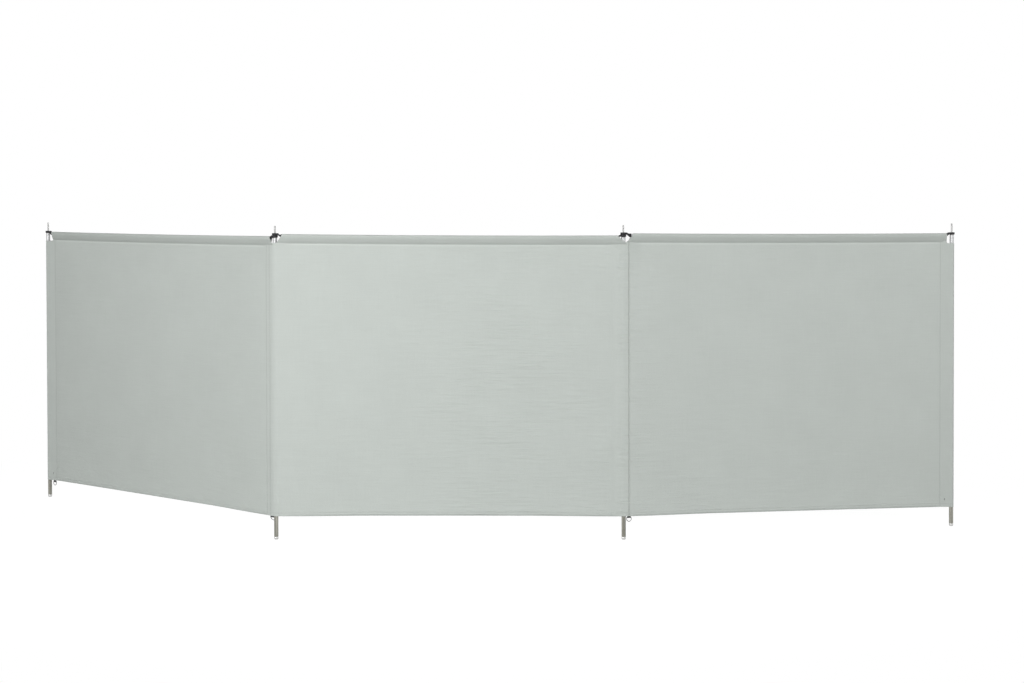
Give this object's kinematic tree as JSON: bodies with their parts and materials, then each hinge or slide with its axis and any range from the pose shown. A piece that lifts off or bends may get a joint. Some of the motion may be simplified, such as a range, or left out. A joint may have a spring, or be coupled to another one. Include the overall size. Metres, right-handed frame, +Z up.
{
  "type": "three-bay pole and cloth windbreak",
  "caption": "Camp and beach windbreak: grey-green cloth bays on steel poles, with top bars in cloth sleeves that hinge on pins at the pole tops, and wire rings for pegs along the hem.",
  "frame": {"origin": "centre of the left inner pole's foot, on the face that stands on the ground", "axes": "+X along the middle bay to the right inner pole, +Y to the lee side, away from the viewer, +Z up"},
  "size_m": [4.4254, 0.8514, 1.4],
  "materials": {
    "cloth": "matt woven cloth",
    "tube": "galvanised steel tube",
    "pin": "turned steel",
    "wire": "bright steel wire",
    "nylon": "moulded black nylon",
    "webbing": "black woven webbing"
  },
  "bodies": {
    "middle_bay": {"left_inner_pole": "tube", "left_inner_pin": "pin", "left_inner_foot": "pin", "left_inner_sleeve": "cloth", "right_inner_pole": "tube", "right_inner_pin": "pin", "right_inner_foot": "pin", "right_inner_sleeve": "cloth", "middle_bar": "tube", "middle_bar_left_eye": "nylon", "middle_bar_right_eye": "nylon", "middle_panel": "cloth", "middle_top_sleeve": "cloth"},
    "left_bay": {"left_end_pole": "tube", "left_end_pin": "pin", "left_end_foot": "pin", "left_end_sleeve": "cloth", "left_end_tab": "webbing", "left_end_ring": "wire", "left_inner_tab": "webbing", "left_inner_ring": "wire", "left_bar": "tube", "left_bar_outer_eye": "nylon", "left_bar_inner_eye": "nylon", "left_panel": "cloth", "left_top_sleeve": "cloth"},
    "right_bay": {"right_end_pole": "tube", "right_end_pin": "pin", "right_end_foot": "pin", "right_end_sleeve": "cloth", "right_end_tab": "webbing", "right_end_ring": "wire", "right_inner_tab": "webbing", "right_inner_ring": "wire", "right_bar": "tube", "right_bar_inner_eye": "nylon", "right_bar_outer_eye": "nylon", "right_panel": "cloth", "right_top_sleeve": "cloth"}
  },
  "joints": [
    {"name": "left_bay_swing", "type": "hinge", "parent": "middle_bay", "child": "left_bay", "pos_m": [0, 0, 1.35315], "axis": [0, 0, -1], "range_deg": [-142, 78]},
    {"name": "right_bay_swing", "type": "hinge", "parent": "middle_bay", "child": "right_bay", "pos_m": [1.55, 0, 1.36315], "axis": [0, 0, 1], "range_deg": [-119, 101]}
  ]
}
